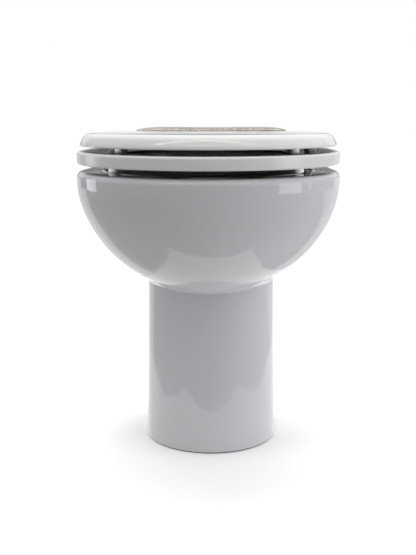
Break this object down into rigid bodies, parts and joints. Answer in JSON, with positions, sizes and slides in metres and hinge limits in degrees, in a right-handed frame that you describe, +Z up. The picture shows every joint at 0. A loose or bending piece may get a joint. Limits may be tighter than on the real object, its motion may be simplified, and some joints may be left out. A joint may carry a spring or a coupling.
{
  "type": "electric marine toilet",
  "caption": "China marine toilet bowl on a narrow pedestal, with a seat and lid on a chromed bar hinge, rest pads, and a macerator pump with its pipework in the pedestal.",
  "frame": {"origin": "middle of the bounding box at floor level", "axes": "+Z up, the front of the bowl faces -Y, +X to the right seen from the front"},
  "size_m": [0.3776, 0.4782, 0.4885],
  "materials": {
    "china": "white vitreous china, fired glaze",
    "enamel": "white gloss, warm tone",
    "pad": "soft white rest pad",
    "chrome": "chromium plated brass",
    "steel": "bright stainless steel",
    "black_plastic": "moulded black plastic",
    "grey_plastic": "moulded grey plastic",
    "white_plastic": "moulded white plastic",
    "rubber": "black moulded rubber",
    "motor_paint": "black stoved paint"
  },
  "bodies": {
    "base": {"china_bowl": "china", "hinge_rod": "chrome", "hinge_collar": "chrome", "hinge_cap_left": "chrome", "hinge_cap_right": "chrome", "hinge_pillar_left": "chrome", "hinge_pillar_right": "chrome", "hinge_wing_nut_left": "white_plastic", "hinge_wing_nut_right": "white_plastic", "floor_bracket_left": "steel", "floor_bracket_right": "steel", "bracket_bolt_left": "chrome", "bracket_bolt_right": "chrome", "outlet_seal": "rubber", "inlet_elbow": "grey_plastic", "macerator_housing": "black_plastic", "chopper_plate": "steel", "pump_back_plate": "black_plastic", "shaft_seal": "rubber", "motor_can": "motor_paint", "motor_end_cap": "black_plastic", "motor_cradle": "steel", "discharge_elbow": "grey_plastic", "valve_body": "grey_plastic", "discharge_spigot": "grey_plastic", "rinse_grommet": "rubber", "rinse_valve_body": "white_plastic", "rinse_coil": "black_plastic", "access_panel": "white_plastic", "cable_gland": "black_plastic"},
    "seat": {"seat_ring": "enamel", "seat_pad_front_left": "pad", "seat_pad_front_right": "pad", "seat_pad_rear_left": "pad", "seat_pad_rear_right": "pad", "seat_hinge_leaf_left": "chrome", "seat_hinge_leaf_right": "chrome", "seat_leaf_screw_left_1": "steel", "seat_leaf_screw_left_2": "steel", "seat_leaf_screw_right_1": "steel", "seat_leaf_screw_right_2": "steel"},
    "lid": {"lid": "enamel", "lid_pad_front_left": "pad", "lid_pad_front_right": "pad", "lid_pad_rear_left": "pad", "lid_pad_rear_right": "pad", "lid_hinge_leaf_left": "chrome", "lid_hinge_leaf_right": "chrome", "lid_leaf_screw_left_1": "steel", "lid_leaf_screw_left_2": "steel", "lid_leaf_screw_right_1": "steel", "lid_leaf_screw_right_2": "steel"},
    "rotor": {"motor_armature": "steel", "pump_impeller": "black_plastic", "cutter_blade": "steel"},
    "flap": {"valve_flap": "rubber"},
    "plunger": {"rinse_plunger": "steel"}
  },
  "joints": [
    {"name": "seat_hinge", "type": "hinge", "parent": "base", "child": "seat", "pos_m": [0, 0.18615, 0.4814], "axis": [-1, 0, 0], "range_deg": [0, 95]},
    {"name": "lid_hinge", "type": "hinge", "parent": "seat", "child": "lid", "pos_m": [0, 0.18615, 0.4814], "axis": [-1, 0, 0], "range_deg": [0, 95]},
    {"name": "pump_spin", "type": "hinge", "parent": "base", "child": "rotor", "pos_m": [0, 0, 0.092], "axis": [0, 1, 0], "continuous": true},
    {"name": "flap_swing", "type": "hinge", "parent": "base", "child": "flap", "pos_m": [0.027, 0.11445, 0.2045], "axis": [1, 0, 0], "range_deg": [0, 55]},
    {"name": "plunger_slide", "type": "slide", "parent": "base", "child": "plunger", "axis": [0, 0, -1], "range_m": [0, 0.003], "stiffness_N_per_m": 150, "springref_m": -0.004}
  ]
}
